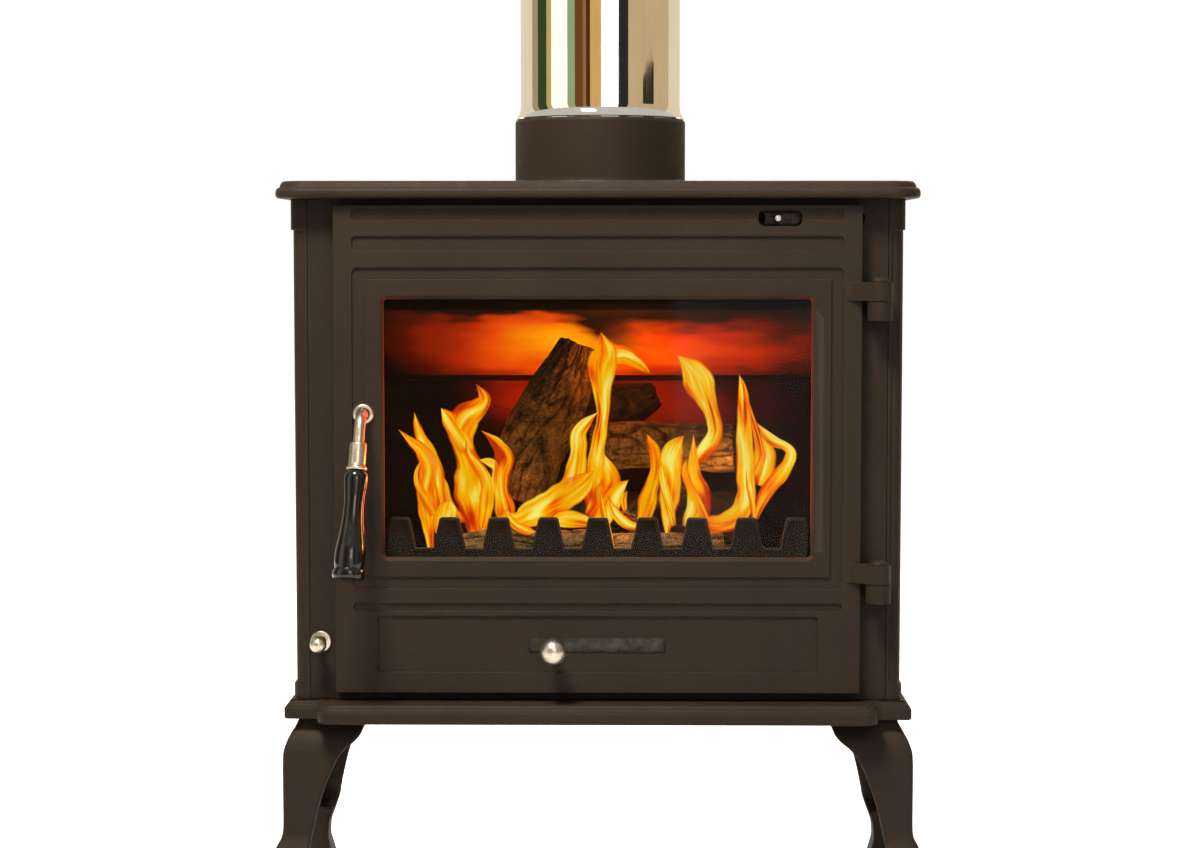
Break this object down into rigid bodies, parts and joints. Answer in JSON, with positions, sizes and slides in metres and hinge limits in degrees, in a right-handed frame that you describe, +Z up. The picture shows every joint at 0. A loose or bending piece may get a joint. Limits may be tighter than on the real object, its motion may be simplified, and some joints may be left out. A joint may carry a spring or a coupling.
{
  "type": "wood burning stove",
  "caption": "Cast-iron wood burning stove on curved legs: glazed door with turned grip, air controls, riddling grate, lift-out log guard, ash pan and bright flue pipe.",
  "frame": {"origin": "on the floor, under the middle of the footprint of the whole stove, handle and door knob included", "axes": "+Z up, the door faces -Y, +X to the right as the door is faced"},
  "size_m": [0.607, 0.3902, 0.9403],
  "materials": {
    "cast_iron": "matt dark brown stove paint over a fine sand-cast skin",
    "hot_iron": "sooty bare casting",
    "liner_iron": "heat-reddened bare casting",
    "bright_steel": "polished stainless",
    "satin_steel": "satin nickel",
    "plain_steel": "dull zinc",
    "grip_black": "gloss black",
    "heat_glass": "clear heat-proof glass",
    "seal_fibre": "knitted glass-fibre rope"
  },
  "bodies": {
    "stove_body": {"ash_pan": "plain_steel", "back_liner": "liner_iron", "back_panel": "cast_iron", "baffle_plate": "hot_iron", "base_plate": "cast_iron", "blanking_bolt_1": "plain_steel", "blanking_bolt_2": "plain_steel", "flue_collar": "cast_iron", "flue_pipe": "bright_steel", "front_frame": "cast_iron", "front_left_leg": "cast_iron", "front_left_leg_bolt": "plain_steel", "front_left_tie_rod": "plain_steel", "front_right_leg": "cast_iron", "front_right_leg_bolt": "plain_steel", "front_right_tie_rod": "plain_steel", "grate_frame": "hot_iron", "left_liner": "liner_iron", "left_side_panel": "cast_iron", "lower_hinge_pin": "cast_iron", "rear_blanking_plate": "cast_iron", "rear_left_leg": "cast_iron", "rear_left_leg_bolt": "plain_steel", "rear_left_tie_rod": "plain_steel", "rear_right_leg": "cast_iron", "rear_right_leg_bolt": "plain_steel", "rear_right_tie_rod": "plain_steel", "riddle_bush": "satin_steel", "right_liner": "liner_iron", "right_side_panel": "cast_iron", "top_plate": "cast_iron", "upper_hinge_pin": "cast_iron"},
    "door": {"door_casting": "cast_iron", "door_glass": "heat_glass", "glass_gasket": "seal_fibre", "door_rope_seal": "seal_fibre", "primary_rail_lower": "plain_steel", "primary_rail_upper": "plain_steel", "handle_flange": "satin_steel", "clip_screw_lower_left": "plain_steel", "clip_screw_lower_right": "plain_steel", "clip_screw_upper_left": "plain_steel", "clip_screw_upper_right": "plain_steel", "glass_clip_lower_left": "plain_steel", "glass_clip_lower_right": "plain_steel", "glass_clip_upper_left": "plain_steel", "glass_clip_upper_right": "plain_steel"},
    "handle": {"handle_rod": "satin_steel", "handle_ferrule": "satin_steel", "handle_grip": "grip_black", "latch_tongue": "plain_steel", "latch_nut": "plain_steel"},
    "primary_air": {"primary_air_slider": "plain_steel", "primary_air_knob": "satin_steel"},
    "upper_air": {"upper_air_slider": "plain_steel", "upper_air_pin": "satin_steel"},
    "riddle": {"riddle_grate": "hot_iron", "riddle_rod": "plain_steel", "riddle_knob": "satin_steel"},
    "guard": {"log_guard": "hot_iron"}
  },
  "joints": [
    {"name": "door_hinge", "type": "hinge", "parent": "stove_body", "child": "door", "pos_m": [0.245, -0.12864, 0.3216], "axis": [0, 0, 1], "range_deg": [0, 115]},
    {"name": "handle_turn", "type": "hinge", "parent": "door", "child": "handle", "pos_m": [-0.2042, -0.12064, 0.4694], "axis": [0, 1, 0], "range_deg": [0, 90]},
    {"name": "primary_air_slide", "type": "slide", "parent": "door", "child": "primary_air", "axis": [1, 0, 0], "range_m": [0, 0.08]},
    {"name": "upper_air_slide", "type": "slide", "parent": "stove_body", "child": "upper_air", "axis": [1, 0, 0], "range_m": [-0.013, 0.017]},
    {"name": "riddle_pull", "type": "slide", "parent": "stove_body", "child": "riddle", "axis": [0, -1, 0], "range_m": [0, 0.025]},
    {"name": "log_guard_lift", "type": "slide", "parent": "stove_body", "child": "guard", "axis": [0, 0, 1], "range_m": [0, 0.06]}
  ]
}
